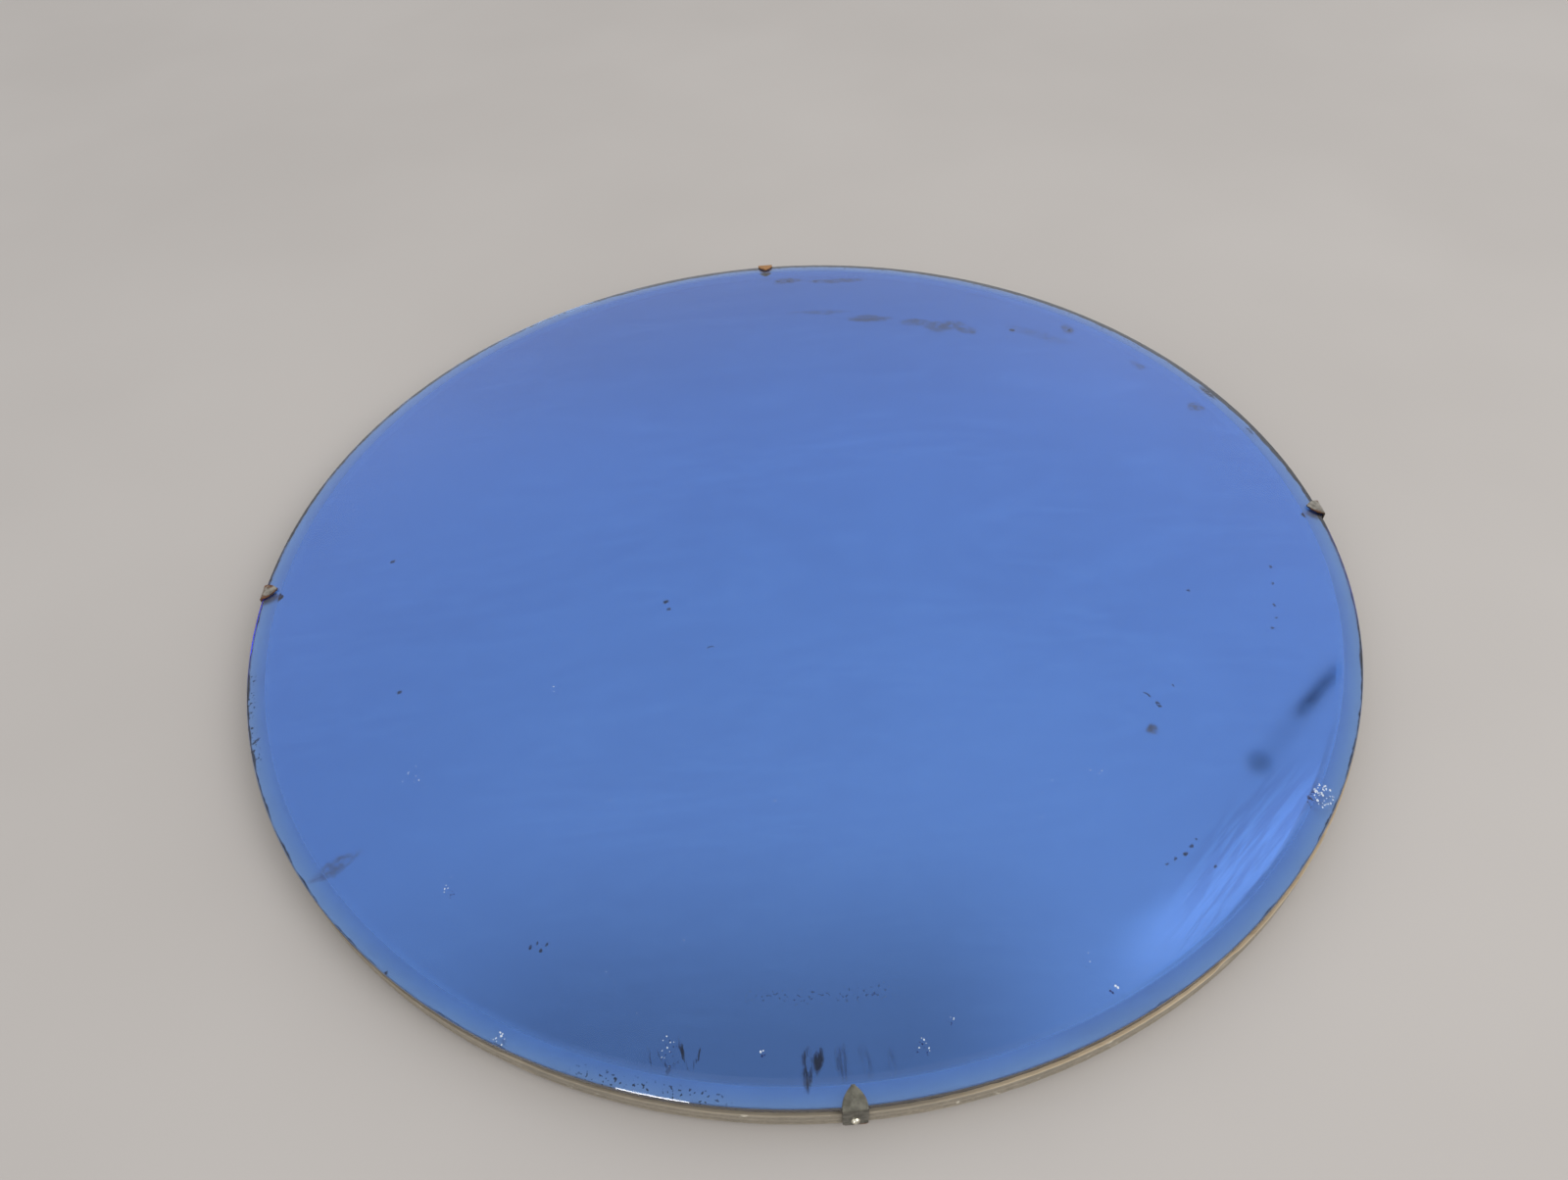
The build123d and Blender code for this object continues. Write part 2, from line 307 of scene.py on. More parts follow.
def clip_mesh(name, turn):
    """Pressed sheet-metal clip: pointed-arch tongue, bend and side plate with soft corners."""
    low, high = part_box("clip_right")
    half_width = (high.y - low.y) / 2
    profile, tongue_length = clip_profile()
    whole_length = profile[-1][0]
    corner = 1.2 * MM  # radius at the foot of the plate
    blunt_tip = 0.16  # width of the tip as a share of the clip's
    crown_height = 0.22 * MM
    columns = CLIP_COLUMNS
    work = bmesh.new()
    outer_rows, inner_rows = [], []
    for travelled, place, out in profile:
        share = min(travelled / tongue_length, 1.0)
        width = half_width * max(blunt_tip, (1 - (1 - share) ** 1.9) ** 0.8)
        from_foot = whole_length - travelled
        if from_foot < corner:
            width -= corner - math.sqrt(max(corner**2 - (corner - from_foot) ** 2, 0))
        crown = crown_height * math.sin(math.pi * share) ** 0.5 if share < 1 else 0
        outer_row, inner_row = [], []
        for column in range(columns + 1):
            across = 2 * column / columns - 1
            lift = crown * (1 - across**2)
            outside = place + out * lift
            inside = outside - out * CLIP_SHEET
            outer_row.append(work.verts.new(around(outside.x, across * width, outside.y, turn)))
            inner_row.append(work.verts.new(around(inside.x, across * width, inside.y, turn)))
        outer_rows.append(outer_row)
        inner_rows.append(inner_row)

    def quad(*corners):
        work.faces.new(corners).smooth = True

    last = len(outer_rows) - 1
    for row in range(last):
        outer, outer_next = outer_rows[row], outer_rows[row + 1]
        inner, inner_next = inner_rows[row], inner_rows[row + 1]
        for column in range(columns):
            beside = column + 1
            quad(outer[column], outer[beside], outer_next[beside], outer_next[column])
            quad(inner[column], inner_next[column], inner_next[beside], inner[beside])
        for column in (0, columns):
            quad(outer[column], outer_next[column], inner_next[column], inner[column])
    for row in (0, last):
        outer, inner = outer_rows[row], inner_rows[row]
        for column in range(columns):
            quad(outer[column], inner[column], inner[column + 1], outer[column + 1])
    bmesh.ops.recalc_face_normals(work, faces=work.faces)
    mesh = bpy.data.meshes.new(name)
    work.to_mesh(mesh)
    work.free()
    return mesh


def soften(piece, width, steps=2, angle=35):
    """Rounds the sharp edges of a piece, those where its faces meet at more than an angle."""
    bevel = piece.modifiers.new("edge_rounding", "BEVEL")
    bevel.width = width
    bevel.segments = steps
    bevel.limit_method = "ANGLE"
    bevel.angle_limit = math.radians(angle)
    bevel.harden_normals = False


def bumper_mesh(name, node):
    """Moulded rubber foot with a sunk screw hole, a rounded shoulder and a small base flange."""
    middle, top_radius, low_z, high_z = middle_and_radius(node)
    foot_radius = top_radius - 1.5 * MM
    sink_radius, hole_radius, sink_depth = 3.4 * MM, 1.7 * MM, 1.9 * MM
    flange = 0.9 * MM
    flange_low = high_z - flange
    chamfer = 0.25 * MM
    rounding = 0.7 * MM
    outline = [(hole_radius, high_z), (top_radius - 0.2 * MM, high_z)]
    outline += [(top_radius, high_z - chamfer), (top_radius, flange_low)]
    outline += [(top_radius - 0.5 * MM, flange_low - chamfer)]
    for step in range(5):
        lean = math.radians(90 * step / 4)
        r = foot_radius - rounding + rounding * math.cos(lean)
        outline.append((r, low_z + rounding - rounding * math.sin(lean)))
    outline += [(sink_radius + chamfer, low_z), (sink_radius, low_z + chamfer)]
    outline += [(sink_radius, low_z + sink_depth), (hole_radius, low_z + sink_depth)]
    # sharp at the top of the hole, under the flange and at the bottom of the sink
    return lathe(name, outline, middle, steps=BUMPER_STEPS, creases=(0, 3, 11, 12))


# Pale crumbs and scuffs on the glass: across and up as shares of the glass radius, how
# many, how far they spread and how large they are in millimetres.
CRUMBS = [
    (0.762, -0.618, 44, 6.0, 0.7),
    (0.100, -0.935, 6, 3.0, 0.45),
    (0.140, -0.905, 3, 1.5, 0.4),
    (-0.113, -0.925, 2, 0.8, 0.5),
    (-0.240, -0.915, 10, 6.0, 0.4),
    (-0.640, -0.460, 8, 5.0, 0.4),
    (-0.560, -0.650, 5, 4.0, 0.4),
    (-0.420, -0.330, 3, 2.0, 0.5),
    (0.420, -0.560, 3, 3.0, 0.4),
    (0.370, -0.880, 2, 1.0, 0.6),
    (0.335, -0.840, 2, 3.0, 0.5),
    (-0.465, -0.875, 10, 3.0, 0.6),
    (0.000, 0.000, 90, 280.0, 0.25),
]


def fleck_mesh():
    """Flat irregular crumbs lying on the face and on the bevel."""
    chance = random.Random(12)
    work = bmesh.new()
    slope = math.tan(BEVEL_ANGLE)
    clear_rim = glass_radius - 1 * MM
    for across, up, count, spread_mm, size_mm in CRUMBS:
        for _ in range(count):
            heading = chance.uniform(0, 2 * math.pi)
            away = math.sqrt(chance.random()) * spread_mm * MM
            x = across * glass_radius + away * math.cos(heading)
            y = up * glass_radius + away * math.sin(heading)
            radius = math.hypot(x, y)
            if radius > clear_rim:
                continue
            outward = Vector((x, y, 0)).normalized()
            if radius > bevel_inner:
                z = rim_z + (glass_radius - radius) * slope
                normal = outward * math.sin(BEVEL_ANGLE) + Vector((0, 0, math.cos(BEVEL_ANGLE)))
            else:
                z = sphere_height(SPHERE_RADIUS, radius)
                normal = Vector((x, y, z - sphere_z)).normalized()
            place = Vector((glass_middle.x + x, glass_middle.y + y, z))
            lean = normal.to_track_quat("Z", "Y").to_matrix()
            size = size_mm * MM * chance.uniform(0.5, 1.3)
            stretch = chance.uniform(0.4, 1.0)
            twist = chance.uniform(0, math.pi)
            low_ring, high_ring = [], []
            for side in range(CRUMB_SIDES):
                turn = 2 * math.pi * side / CRUMB_SIDES
                reach = size * chance.uniform(0.6, 1.0)
                flat = Vector((reach * math.cos(turn), reach * stretch * math.sin(turn), 0))
                flat = Matrix.Rotation(twist, 3, "Z") @ flat
                low_ring.append(work.verts.new(place + lean @ flat))
                raised = flat * 0.7 + Vector((0, 0, CRUMB_THICKNESS))
                high_ring.append(work.verts.new(place + lean @ raised))
            work.faces.new(high_ring)
            work.faces.new(low_ring[::-1])
            for side in range(CRUMB_SIDES):
                after = (side + 1) % CRUMB_SIDES
                work.faces.new((low_ring[side], low_ring[after], high_ring[after], high_ring[side]))
    mesh = bpy.data.meshes.new("dust_flecks")
    work.to_mesh(mesh)
    work.free()
    return mesh


# ======================================================================
# Materials
# ======================================================================
class Graph:
    """Short names for the shader nodes used below."""

    def __init__(self, tree):
        self.tree = tree

    def node(self, kind, **settings):
        made = self.tree.nodes.new(kind)
        for key, value in settings.items():
            setattr(made, key, value)
        return made

    def feed(self, socket, value):
        if isinstance(value, bpy.types.NodeSocket):
            self.tree.links.new(value, socket)
        else:
            socket.default_value = value

    def place(self):
        return self.node("ShaderNodeTexCoord").outputs["Object"]

    def split(self, vector):
        made = self.node("ShaderNodeSeparateXYZ")
        self.feed(made.inputs[0], vector)
        return made.outputs

    def math(self, operation, first, second=0.0, clamp=False):
        made = self.node("ShaderNodeMath", operation=operation, use_clamp=clamp)
        self.feed(made.inputs[0], first)
        self.feed(made.inputs[1], second)
        return made.outputs[0]

    def vector(self, operation, first, second=(0, 0, 0)):
        made = self.node("ShaderNodeVectorMath", operation=operation)
        self.feed(made.inputs[0], first)
        self.feed(made.inputs[1], second)
        return made.outputs["Value" if operation in ("LENGTH", "DOT_PRODUCT") else "Vector"]

    def remap(self, value, low, high, to_low=0.0, to_high=1.0, smooth=True):
        kind = "SMOOTHSTEP" if smooth else "LINEAR"
        made = self.node("ShaderNodeMapRange", interpolation_type=kind)
        self.feed(made.inputs["Value"], value)
        made.inputs["From Min"].default_value = low
        made.inputs["From Max"].default_value = high
        made.inputs["To Min"].default_value = to_low
        made.inputs["To Max"].default_value = to_high
        return made.outputs["Result"]

    def noise(self, vector, scale, detail=4.0, roughness=0.55, distortion=0.0, stretch=None):
        if stretch is not None:
            vector = self.vector("MULTIPLY", vector, stretch)
        made = self.node("ShaderNodeTexNoise")
        self.feed(made.inputs["Vector"], vector)
        made.inputs["Scale"].default_value = scale
        made.inputs["Detail"].default_value = detail
        made.inputs["Roughness"].default_value = roughness
        made.inputs["Distortion"].default_value = distortion
        return made.outputs["Fac"]

    def mix(self, share, first, second):
        made = self.node("ShaderNodeMix", data_type="RGBA")
        self.feed(made.inputs[0], share)
        for socket, colour in ((made.inputs[6], first), (made.inputs[7], second)):
            linked = isinstance(colour, bpy.types.NodeSocket)
            self.feed(socket, colour if linked else (*colour, 1))
        return made.outputs[2]

    def blot(self, place, mark):
        """1 inside an ellipse on the face and 0 outside, fading between them."""
        across, up, half_length, half_width, lean, strength = mark
        made = self.node("ShaderNodeMapping", vector_type="TEXTURE")
        self.feed(made.inputs["Vector"], place)
        middle_x = glass_middle.x + across * glass_radius
        middle_y = glass_middle.y + up * glass_radius
        made.inputs["Location"].default_value = (middle_x, middle_y, 0)
        made.inputs["Rotation"].default_value = (0, 0, math.radians(lean))
        made.inputs["Scale"].default_value = (half_length * MM, half_width * MM, 1)
        away = self.vector("LENGTH", made.outputs["Vector"])
        return self.remap(away, 1.0, 0.35, 0.0, strength)

    def blots(self, place, marks):
        """The strongest of several marks at each point."""
        total = self.blot(place, marks[0])
        for mark in marks[1:]:
            total = self.math("MAXIMUM", total, self.blot(place, mark))
        return total

    def bump(self, height, distance, strength=1.0):
        made = self.node("ShaderNodeBump")
        self.feed(made.inputs["Height"], height)
        made.inputs["Distance"].default_value = distance
        made.inputs["Strength"].default_value = strength
        return made.outputs["Normal"]


def new_material(name):
    material = bpy.data.materials.new(name)
    material.use_nodes = True
    tree = material.node_tree
    tree.nodes.clear()
    output = tree.nodes.new("ShaderNodeOutputMaterial")
    shader = tree.nodes.new("ShaderNodeBsdfPrincipled")
    tree.links.new(shader.outputs["BSDF"], output.inputs["Surface"])
    return material, Graph(tree), shader


def flat_place(graph):
    """Place on the face seen from in front, without its height."""
    return graph.vector("MULTIPLY", graph.place(), (1, 1, 0))


def shifted(graph, place, scale, distance):
    """A place pushed about by noise, to make the outline of a mark ragged."""
    made = graph.node("ShaderNodeTexNoise")
    graph.feed(made.inputs["Vector"], place)
    made.inputs["Scale"].default_value = scale
    made.inputs["Detail"].default_value = 4
    centred = graph.vector("SUBTRACT", made.outputs["Color"], (0.5, 0.5, 0.5))
    push = graph.vector("MULTIPLY", centred, (2 * distance, 2 * distance, 0))
    return graph.vector("ADD", place, push)


def from_middle(graph, place):
    """Distance from the glass's axis as a share of its radius."""
    moved = graph.vector("SUBTRACT", place, (glass_middle.x, glass_middle.y, 0))
    return graph.math("DIVIDE", graph.vector("LENGTH", moved), glass_radius)


def sector(graph, place, towards, width):
    """1 on the side of the face that lies at an angle, fading out to the given width."""
    heading = (math.cos(math.radians(towards)), math.sin(math.radians(towards)), 0)
    along = graph.vector("DOT_PRODUCT", graph.vector("NORMALIZE", place), heading)
    return graph.remap(along, math.cos(math.radians(width)), math.cos(math.radians(width * 0.5)))


# The glass absorbs one minus this colour, times the density, for each metre of its depth.
GLASS_COLOUR = (0.055, 0.517, 0.993, 1)
GLASS_DENSITY = 175.0


def blue_glass():
    """Cobalt glass, coloured in its depth, with the faint bloom of an uncleaned surface."""
    material, graph, shader = new_material("cobalt_glass")
    shader.inputs["Transmission Weight"].default_value = 1.0
    shader.inputs["Roughness"].default_value = 0.02
    shader.inputs["IOR"].default_value = 1.52
    shader.inputs["Sheen Weight"].default_value = 0.04
    shader.inputs["Sheen Roughness"].default_value = 0.45
    depth = graph.node("ShaderNodeVolumeAbsorption")
    depth.inputs["Color"].default_value = GLASS_COLOUR
    depth.inputs["Density"].default_value = GLASS_DENSITY
    output = material.node_tree.get_output_node("ALL")
    graph.feed(output.inputs["Volume"], depth.outputs[0])
    return material


# Marks on the face: across and up as shares of the glass radius, half length and half
# width in millimetres, lean in degrees, strength.
STAINS = [
    (0.394, 0.648, 19, 10, 4, 0.85),
    (0.440, 0.628, 10, 7, -20, 0.8),
    (0.330, 0.668, 14, 6, -6, 0.7),
    (0.226, 0.698, 20, 7, -6, 0.8),
    (0.110, 0.740, 26, 5, -5, 0.4),
    (0.055, 0.915, 14, 6, 0, 1.0),
    (0.170, 0.900, 26, 5, -4, 0.8),
    (0.789, 0.475, 6, 9, 20, 0.5),
    (0.675, 0.625, 7, 9, 0, 0.8),
    (0.867, 0.318, 7, 6, 40, 0.9),
    (0.600, 0.600, 30, 8, -30, 0.3),
    (-0.745, -0.592, 15, 4.5, 30, 0.6),
    (0.534, -0.486, 4.5, 4, 0, 0.9),
]
LOST_SILVER = [
    (0.543, 0.622, 2.4, 2.4, 20, 1.0),
    (0.675, 0.622, 1.6, 2.2, 0, 0.8),
    (0.030, 0.915, 2.4, 2.2, 0, 0.9),
    (0.055, 0.913, 1.8, 2.0, 0, 0.9),
    (0.120, 0.905, 2.2, 1.8, 0, 0.6),
    (-0.755, 0.030, 1.8, 1.5, 0, 0.9),
    (-0.690, -0.285, 1.8, 1.5, 0, 0.9),
    (-0.235, -0.160, 2.2, 1.6, 30, 1.0),
    (-0.230, -0.178, 1.4, 1.2, 0, 0.9),
    (-0.160, -0.270, 3.0, 0.7, 15, 0.5),
    (0.555, -0.440, 2.6, 1.3, -60, 1.0),
    (0.542, -0.420, 3.2, 0.6, -50, 0.9),
    (0.590, -0.405, 1.6, 0.6, -50, 0.6),
    (-0.432, -0.752, 1.3, 0.9, 60, 1.0),
    (-0.422, -0.747, 1.3, 0.7, 80, 0.9),
    (-0.416, -0.758, 1.2, 0.9, 0, 1.0),
    (-0.408, -0.750, 1.2, 0.7, 60, 0.8),
    (0.522, -0.694, 1.7, 1.0, 10, 1.0),
    (0.535, -0.682, 1.5, 0.9, 50, 0.9),
    (0.505, -0.700, 1.3, 0.8, 50, 0.8),
    (0.545, -0.672, 1.0, 0.8, 50, 0.7),
    (0.560, -0.715, 1.2, 0.8, 50, 0.7),
    (0.490, -0.708, 1.0, 0.7, 0, 0.6),
    (0.678, -0.205, 1.4, 1.2, 0, 0.7),
    (0.849, -0.150, 1.2, 1.4, 20, 0.7),
    (0.838, -0.190, 1.4, 1.0, 60, 0.6),
    (0.822, -0.240, 1.6, 1.0, 70, 0.7),
    (0.800, -0.290, 1.4, 1.2, 40, 0.7),
    (0.815, -0.268, 1.0, 0.9, 40, 0.6),
    (-0.930, -0.340, 3.4, 1.2, 45, 1.1),
    (0.912, 0.372, 10.0, 2.8, -68, 1.0),
    (0.955, 0.240, 5.0, 1.6, -76, 0.7),
    (-0.640, -0.765, 2.2, 1.2, 40, 1.0),
]
# Dark strokes by the near rim, laid out like the marks above; the code darkens them like lost silver.
STROKES = [
    (-0.217, -0.915, 8, 0.8, -72, 1.0),
    (-0.197, -0.917, 8, 0.7, 68, 0.9),
    (-0.243, -0.920, 6, 1.0, -60, 0.7),
    (-0.262, -0.912, 5, 0.8, -75, 0.6),
    (-0.232, -0.930, 4, 1.2, 40, 0.6),
    (-0.055, -0.948, 10, 2.6, 84, 1.4),
    (-0.042, -0.940, 7, 3.0, 70, 1.3),
    (-0.008, -0.942, 9, 3.5, 92, 0.45),
    (0.022, -0.942, 8, 3.0, 100, 0.3),
    (0.055, -0.945, 7, 3.0, 95, 0.25),
]
# Lengths of the rim with black specks: the shares of the radius between which they thicken,
# the angle of their middle, how wide they fade in degrees, amount.
SPECKLED_RIM = [
    (0.974, 0.984, 254.5, 7, 1.0),
    (0.982, 0.990, 197, 8, 1.0),
    (0.972, 0.988, 62, 50, 0.7),
]


# Colours of the silver, of the brown stains over it and of the paint where it is lost.
SILVER_DULL = (0.83, 0.85, 0.89)
SILVER_BRIGHT = (0.92, 0.93, 0.95)
SILVER_CLEAN = (1.0, 1.0, 1.0)
SILVER_RUBBED = (0.60, 0.64, 0.72)
STAIN_BROWN = (0.62, 0.34, 0.26)
BARE_BACK = (0.03, 0.025, 0.025)
RUBBED_PATCH = (0.62, -0.70, 75, 26, 42, 1.0)  # laid out like the marks above


def lost_silver_and_strokes(graph, place, radius):
    """1 where the silver has gone, in specks and a thin dark rim, and along dark strokes by the near
    rim.
    """
    ragged = shifted(graph, place, 420.0, 1.1 * MM)
    crumble = graph.remap(graph.noise(place, 900.0, detail=2), 0.34, 0.50, 0.25, 1.0)
    lost = graph.math("MULTIPLY", graph.blots(ragged, LOST_SILVER), crumble)
    stroke_breakup = graph.noise(place, 520.0, detail=3, stretch=(1.5, 0.16, 1))
    drawn = shifted(graph, place, 240.0, 1.8 * MM)
    strokes = graph.blots(drawn, STROKES)
    strokes = graph.math("MULTIPLY", strokes, graph.remap(stroke_breakup, 0.40, 0.58, 0.05, 1.0))
    lost = graph.math("MAXIMUM", lost, strokes)

    # the rim, where damp has crept in, furthest at two sides
    creep = graph.noise(place, 70.0, detail=5)
    creep = graph.remap(creep, 0.35, 0.75, -0.0015, 0.004, smooth=False)
    rim_reach = graph.math("ADD", radius, creep)
    dark_rim = graph.math("MAXIMUM", sector(graph, place, 42, 50), sector(graph, place, 99, 18))
    rim_reach = graph.math("ADD", rim_reach, graph.math("MULTIPLY", dark_rim, 0.006))
    rim_loss = graph.remap(rim_reach, 0.9965, 0.9995)

    # black specks, on three lengths of the bevel and in a short row inside it
    specks = graph.remap(graph.noise(place, 620.0, detail=1), 0.620, 0.650)
    speckled = None
    for inner, outer, towards, width, amount in SPECKLED_RIM:
        length = graph.remap(radius, inner, outer)
        length = graph.math("MULTIPLY", length, sector(graph, place, towards, width))
        length = graph.math("MULTIPLY", length, amount)
        speckled = length if speckled is None else graph.math("MAXIMUM", speckled, length)
    row = graph.math("MULTIPLY", graph.remap(radius, 0.845, 0.853), graph.remap(radius, 0.872, 0.862))
    row = graph.math("MULTIPLY", graph.math("MULTIPLY", row, sector(graph, place, 268, 8)), 0.45)
    specks = graph.math("MULTIPLY", specks, graph.math("MAXIMUM", speckled, row))
    return graph.math("MAXIMUM", graph.math("MAXIMUM", lost, rim_loss), specks, clamp=True)


def silvering():
    """Old silver seen through the glass: bright, with stains, lost specks and a dark rim."""
    material, graph, shader = new_material("old_silver")
    place = flat_place(graph)
    radius = from_middle(graph, place)
    ragged = shifted(graph, place, 70.0, 4.5 * MM)
    mottle = graph.noise(place, 210.0, detail=5, roughness=0.65)
    stain = graph.blots(ragged, STAINS)
    stain = graph.math("MULTIPLY", stain, graph.remap(mottle, 0.36, 0.60, 0.25, 1.3))
    gone = lost_silver_and_strokes(graph, place, radius)

    # wiping marks all over, and a rubbed patch with its strokes along one slope
    broad = graph.noise(place, 3.5, detail=3, distortion=0.8)
    wipes = graph.noise(place, 4.5, detail=6, roughness=0.62, distortion=2.4, stretch=(1, 2.4, 1))
    fine_wipes = graph.noise(place, 26.0, detail=4, distortion=1.4, stretch=(0.5, 2.4, 1))
    swirl = graph.remap(wipes, 0.38, 0.72, 0, 0.65)
    swirl = graph.math("ADD", swirl, graph.remap(fine_wipes, 0.42, 0.75, 0, 0.35))
    turned = graph.node("ShaderNodeMapping")
    graph.feed(turned.inputs["Vector"], place)
    turned.inputs["Rotation"].default_value = (0, 0, math.radians(-42))
    leaning = turned.outputs["Vector"]
    rubs = graph.noise(leaning, 60.0, detail=4, roughness=0.7, stretch=(0.25, 4.0, 1))
    rubbed = graph.math("MULTIPLY", graph.blot(place, RUBBED_PATCH), graph.remap(rubs, 0.42, 0.58))

    silver = graph.mix(graph.remap(broad, 0.35, 0.7), SILVER_DULL, SILVER_BRIGHT)
    silver = graph.mix(graph.math("MULTIPLY", swirl, 0.9), silver, SILVER_CLEAN)
    silver = graph.mix(graph.math("MULTIPLY", rubbed, 0.8), silver, SILVER_RUBBED)
    ground_seat = graph.remap(radius, 0.967, 0.970)
    silver = graph.mix(ground_seat, silver, SILVER_CLEAN)
    stained = graph.mix(stain, silver, STAIN_BROWN)
    graph.feed(shader.inputs["Base Color"], graph.mix(gone, stained, BARE_BACK))
    metallic = graph.math("SUBTRACT", 1.0, graph.math("MULTIPLY", gone, 0.9))
    graph.feed(shader.inputs["Metallic"], metallic)

    worn = graph.math("MAXIMUM", graph.math("MULTIPLY", stain, 0.5), gone)
    roughness = graph.remap(worn, 0.35, 1, 0.03, 0.45, smooth=False)
    roughness = graph.math("ADD", roughness, graph.math("MULTIPLY", swirl, 0.10))
    roughness = graph.math("ADD", roughness, graph.math("MULTIPLY", ground_seat, 0.38), clamp=True)
    graph.feed(shader.inputs["Roughness"], roughness)
    return material


def painted_back():
    """Dark red-brown protective paint behind the silver."""
    material, graph, shader = new_material("red_lead_paint")
    place = graph.place()
    streaks = graph.noise(place, 60.0, detail=4, stretch=(0.3, 3, 1))
    tone = graph.mix(streaks, (0.035, 0.018, 0.014), (0.085, 0.038, 0.026))
    graph.feed(shader.inputs["Base Color"], tone)
    shader.inputs["Roughness"].default_value = 0.7
    graph.feed(shader.inputs["Normal"], graph.bump(streaks, 0.1 * MM))
    return material


def felt():
    """Black-brown felt with a short nap."""
    material, graph, shader = new_material("pressed_felt")
    place = graph.place()
    fibres = graph.noise(place, 1800.0, detail=4)
    tufts = graph.noise(place, 260.0, detail=3)
    tone = graph.mix(tufts, (0.020, 0.018, 0.016), (0.060, 0.052, 0.044))
    graph.feed(shader.inputs["Base Color"], tone)
    shader.inputs["Roughness"].default_value = 0.95
    shader.inputs["Sheen Weight"].default_value = 0.3
    graph.feed(shader.inputs["Normal"], graph.bump(fibres, 0.2 * MM))
    return material


# grime on the side of the board; the same colour is also the painted shade on its top face
PLY_GRIME_AND_SHADE = (0.17, 0.155, 0.125)


def plywood():
    """Birch plywood gone tan with age: veneer above and below, five plies round the side."""
    material, graph, shader = new_material("aged_plywood")
    place = graph.place()
    z = graph.split(place)[2]
    facing = graph.node("ShaderNodeNewGeometry").outputs["Normal"]
    upward = graph.math("ABSOLUTE", graph.split(facing)[2])
    on_face = graph.remap(upward, 0.45, 0.8)

    # the two veneers, their grain along X
    figure = graph.noise(place, 9.0, detail=6, roughness=0.6, distortion=1.4, stretch=(0.35, 3.2, 1))
    pores = graph.noise(place, 220.0, detail=3, stretch=(0.06, 3.0, 1))
    veneer = graph.mix(graph.remap(figure, 0.3, 0.7), (0.50, 0.40, 0.27), (0.38, 0.29, 0.185))
    veneer = graph.mix(graph.remap(pores, 0.60, 0.72, 0, 0.5), veneer, (0.20, 0.13, 0.075))
    blotch = graph.noise(place, 6.0, detail=3)
    veneer = graph.mix(graph.remap(blotch, 0.52, 0.75, 0, 0.35), veneer, (0.24, 0.17, 0.10))

    # the side: plies with their grain along X show end grain at the left and right, and the
    # plies between them show it at the far and near sides
    level = graph.remap(z, board_low_z, board_high_z, 0, PLIES, smooth=False)
    odd_ply = graph.math("GREATER_THAN", graph.math("MODULO", level, 2.0), 1.0)
    heading = graph.split(graph.vector("NORMALIZE", graph.vector("MULTIPLY", place, (1, 1, 0))))
    sideways = graph.math("ABSOLUTE", heading[0])
    end_grain = graph.math("ABSOLUTE", graph.math("SUBTRACT", odd_ply, graph.remap(sideways, 0.45, 0.9)))
    fibre = graph.noise(place, 300.0, detail=4, stretch=(1, 1, 5))
    open_ends = graph.noise(place, 700.0, detail=2)
    long_ply = graph.mix(graph.remap(fibre, 0.3, 0.7), (0.315, 0.275, 0.215), (0.245, 0.215, 0.168))
    end_ply = graph.mix(graph.remap(open_ends, 0.3, 0.7), (0.27, 0.235, 0.18), (0.19, 0.165, 0.128))
    edge = graph.mix(end_grain, long_ply, end_ply)
    seam = graph.math("ABSOLUTE", graph.math("SUBTRACT", graph.math("FRACT", level), 0.5))
    edge = graph.mix(graph.remap(seam, 0.44, 0.5, 0, 0.4), edge, (0.13, 0.11, 0.085))
    grime = graph.noise(place, 45.0, detail=5)
    edge = graph.mix(graph.remap(grime, 0.42, 0.7, 0, 0.45), edge, PLY_GRIME_AND_SHADE)
    rubbed = graph.remap(graph.noise(place, 130.0, detail=4), 0.64, 0.71, 0, 0.9)
    edge = graph.mix(rubbed, edge, (0.58, 0.54, 0.45))
    # painted highlight: the rounded arrises are painted a paler colour, faintly all round and most on
    # the lit side, towards 303 degrees at the lower right
    lit_side = sector(graph, place, 303, 30)
    arris = graph.math("MULTIPLY", graph.remap(upward, 0.12, 0.4), graph.remap(upward, 0.95, 0.7))
    arris_highlight_share = graph.remap(lit_side, 0, 1, 0.15, 0.8, smooth=False)
    arris = graph.math("MULTIPLY", arris, arris_highlight_share)
    edge = graph.mix(arris, edge, (0.50, 0.42, 0.30))
    # painted shade: the top face is darkened with the grime colour everywhere but on the lit side
    margin = graph.remap(z, board_high_z - 0.4 * MM, board_high_z - 0.1 * MM)
    margin = graph.math("MULTIPLY", margin, on_face)
    top_face_shade = graph.math("MULTIPLY", margin, graph.math("SUBTRACT", 1.0, lit_side))
    veneer = graph.mix(graph.math("MULTIPLY", top_face_shade, 0.75), veneer, PLY_GRIME_AND_SHADE)

    graph.feed(shader.inputs["Base Color"], graph.mix(on_face, edge, veneer))
    graph.feed(shader.inputs["Roughness"], graph.remap(fibre, 0.3, 0.7, 0.6, 0.85))
    relief = graph.math("ADD", graph.math("MULTIPLY", fibre, 0.6), graph.math("MULTIPLY", pores, -0.8))
    graph.feed(shader.inputs["Normal"], graph.bump(relief, 0.25 * MM))
    return material


